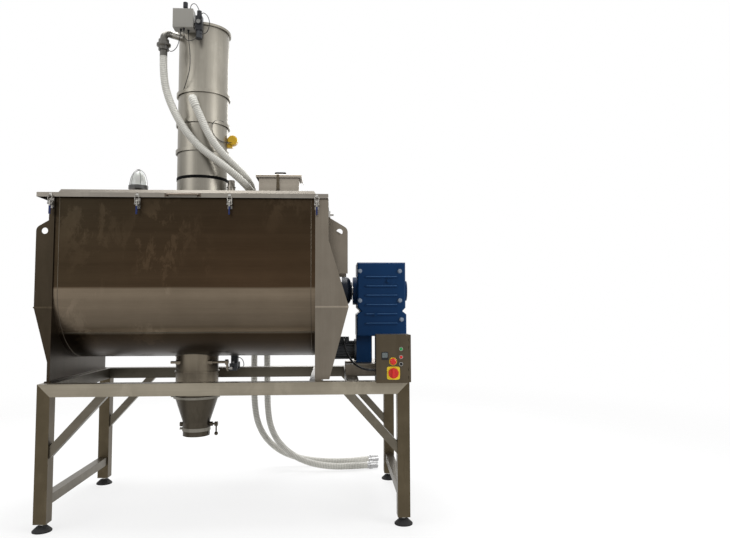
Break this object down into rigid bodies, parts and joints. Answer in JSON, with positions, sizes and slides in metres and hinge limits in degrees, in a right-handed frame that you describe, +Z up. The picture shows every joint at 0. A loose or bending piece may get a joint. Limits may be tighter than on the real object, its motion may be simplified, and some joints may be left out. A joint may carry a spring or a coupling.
{
  "type": "ribbon blender",
  "caption": "Stainless ribbon blender on a square-tube stand with hinged lid, end drive, flap discharge, control box and a vacuum receiver with hoses on top.",
  "frame": {"origin": "on the floor under the middle of the machine's box, without the hoses", "axes": "+X to the drive end, +Y to the rear, +Z up; the front with the control door faces -Y"},
  "size_m": [3.217, 2.1993, 4.492],
  "materials": {
    "stand_paint": "satin",
    "rubber_black": "matte",
    "bright_steel": "polished",
    "stainless": "brushed",
    "bearing_iron": "satin",
    "drive_blue": "gloss",
    "motor_grey": "satin",
    "latch_blue": "gloss",
    "lamp_black": "matte",
    "lamp_glass": "clear",
    "vibrator_yellow": "gloss",
    "switch_trim": "gloss",
    "control_red": "gloss",
    "control_green": "gloss",
    "control_black": "matte",
    "hose_white": "satin",
    "hose_coupling": "satin"
  },
  "bodies": {
    "stand": {"frame_legs": "stand_paint", "frame_rails": "stand_paint", "foot_pads": "rubber_black", "foot_stems": "bright_steel", "drive_bed": "stainless", "trough_shell": "stainless", "end_plate_idle": "stainless", "end_plate_drive": "stainless", "end_brackets": "stainless", "bearing_housings": "bearing_iron", "rubber_seals": "rubber_black", "lid_rear": "stainless", "latch_bases": "bright_steel", "hatch_neck": "stainless", "lamp_base": "lamp_black", "lamp_lens": "lamp_glass", "lid_switch": "bright_steel", "receiver_shells": "stainless", "clamp_rings": "bright_steel", "receiver_ports": "stainless", "air_box": "motor_grey", "vibrator": "vibrator_yellow", "gear_housing": "drive_blue", "motor_body": "motor_grey", "discharge_neck": "stainless", "flap_cylinder": "bright_steel", "discharge_cone": "stainless", "control_box": "stainless", "motor_cable": "control_black", "hose_vacuum": "hose_white", "hose_feed": "hose_white", "hose_vacuum_end": "hose_coupling", "hose_feed_end": "hose_coupling"},
    "front_lid": {"lid_front": "stainless", "lid_fittings": "bright_steel"},
    "hatch_lid": {"hatch_cover": "stainless"},
    "receiver_flap": {"receiver_flap": "stainless"},
    "agitator": {"agitator_shaft": "bright_steel", "agitator_arms": "stainless", "outer_ribbons": "stainless", "inner_ribbons": "stainless", "drive_coupling": "drive_blue"},
    "discharge_flap": {"discharge_flap": "stainless"},
    "flap_rod": {"flap_rod": "bright_steel"},
    "outlet_valve": {"outlet_valve": "stainless"},
    "control_door": {"control_door": "stainless", "door_fittings": "switch_trim"},
    "main_switch": {"main_switch": "control_red"},
    "estop_button": {"estop_button": "control_red"},
    "start_button": {"start_button": "control_green"},
    "stop_button": {"stop_button": "control_red"},
    "selector_switch": {"selector_switch": "control_black"},
    "latch_lever_1": {"latch_lever_1": "latch_blue"},
    "latch_bail_1": {"latch_bail_1": "bright_steel"},
    "latch_lever_2": {"latch_lever_2": "latch_blue"},
    "latch_bail_2": {"latch_bail_2": "bright_steel"},
    "latch_lever_3": {"latch_lever_3": "latch_blue"},
    "latch_bail_3": {"latch_bail_3": "bright_steel"},
    "latch_lever_4": {"latch_lever_4": "latch_blue"},
    "latch_bail_4": {"latch_bail_4": "bright_steel"}
  },
  "joints": [
    {"name": "front_lid_hinge", "type": "hinge", "parent": "stand", "child": "front_lid", "pos_m": [-0.279, -0.196, 2.742], "axis": [-1, 0, 0], "range_deg": [0, 80]},
    {"name": "latch_lever_1_pivot", "type": "hinge", "parent": "stand", "child": "latch_lever_1", "pos_m": [-1.345, -0.565, 2.6], "axis": [-1, 0, 0], "range_deg": [0, 150]},
    {"name": "latch_bail_1_pivot", "type": "hinge", "parent": "latch_lever_1", "child": "latch_bail_1", "pos_m": [-1.345, -0.562, 2.58], "axis": [-1, 0, 0], "range_deg": [-151, 0]},
    {"name": "latch_lever_2_pivot", "type": "hinge", "parent": "stand", "child": "latch_lever_2", "pos_m": [-0.656, -0.565, 2.6], "axis": [-1, 0, 0], "range_deg": [0, 150]},
    {"name": "latch_bail_2_pivot", "type": "hinge", "parent": "latch_lever_2", "child": "latch_bail_2", "pos_m": [-0.656, -0.562, 2.58], "axis": [-1, 0, 0], "range_deg": [-151, 0]},
    {"name": "latch_lever_3_pivot", "type": "hinge", "parent": "stand", "child": "latch_lever_3", "pos_m": [0.09, -0.565, 2.6], "axis": [-1, 0, 0], "range_deg": [0, 150]},
    {"name": "latch_bail_3_pivot", "type": "hinge", "parent": "latch_lever_3", "child": "latch_bail_3", "pos_m": [0.09, -0.562, 2.58], "axis": [-1, 0, 0], "range_deg": [-151, 0]},
    {"name": "latch_lever_4_pivot", "type": "hinge", "parent": "stand", "child": "latch_lever_4", "pos_m": [0.805, -0.565, 2.6], "axis": [-1, 0, 0], "range_deg": [0, 150]},
    {"name": "latch_bail_4_pivot", "type": "hinge", "parent": "latch_lever_4", "child": "latch_bail_4", "pos_m": [0.805, -0.562, 2.58], "axis": [-1, 0, 0], "range_deg": [-151, 0]},
    {"name": "hatch_hinge", "type": "hinge", "parent": "stand", "child": "hatch_lid", "pos_m": [0.45, 0.259, 2.9285], "axis": [-1, 0, 0], "range_deg": [0, 100]},
    {"name": "receiver_flap_pivot", "type": "hinge", "parent": "stand", "child": "receiver_flap", "pos_m": [-0.287, 0.174, 2.818], "axis": [1, 0, 0], "range_deg": [0, 80]},
    {"name": "agitator_spin", "type": "hinge", "parent": "stand", "child": "agitator", "pos_m": [0, 0.071, 1.886], "axis": [1, 0, 0], "continuous": true},
    {"name": "discharge_flap_pivot", "type": "hinge", "parent": "stand", "child": "discharge_flap", "pos_m": [-0.288, -0.054, 1.252], "axis": [-1, 0, 0], "range_deg": [0, 80]},
    {"name": "flap_rod_slide", "type": "slide", "parent": "stand", "child": "flap_rod", "axis": [0, -1, 0], "range_m": [0, 0.1008]},
    {"name": "outlet_valve_turn", "type": "hinge", "parent": "stand", "child": "outlet_valve", "pos_m": [-0.288, 0.071, 0.69], "axis": [-1, 0, 0], "range_deg": [0, 90]},
    {"name": "control_door_hinge", "type": "hinge", "parent": "stand", "child": "control_door", "pos_m": [1.54, -0.728, 1.328], "axis": [0, 0, 1], "range_deg": [0, 110]},
    {"name": "main_switch_turn", "type": "hinge", "parent": "control_door", "child": "main_switch", "pos_m": [1.415, -0.7464, 1.217], "axis": [0, 1, 0], "range_deg": [0, 90]},
    {"name": "selector_turn", "type": "hinge", "parent": "control_door", "child": "selector_switch", "pos_m": [1.476, -0.7464, 1.287], "axis": [0, 1, 0], "range_deg": [-45, 45]},
    {"name": "start_press", "type": "slide", "parent": "control_door", "child": "start_button", "axis": [0, 1, 0], "range_m": [0, 0.004], "stiffness_N_per_m": 300},
    {"name": "stop_press", "type": "slide", "parent": "control_door", "child": "stop_button", "axis": [0, 1, 0], "range_m": [0, 0.004], "stiffness_N_per_m": 300},
    {"name": "estop_press", "type": "slide", "parent": "control_door", "child": "estop_button", "axis": [0, 1, 0], "range_m": [0, 0.006], "stiffness_N_per_m": 500}
  ],
  "couplings": [
    {"joint": "latch_bail_1_pivot", "follows": "latch_lever_1_pivot", "ratio": -1},
    {"joint": "latch_bail_2_pivot", "follows": "latch_lever_2_pivot", "ratio": -1},
    {"joint": "latch_bail_3_pivot", "follows": "latch_lever_3_pivot", "ratio": -1},
    {"joint": "latch_bail_4_pivot", "follows": "latch_lever_4_pivot", "ratio": -1},
    {"joint": "flap_rod_slide", "follows": "discharge_flap_pivot", "m_per_rad": 0.07211}
  ]
}
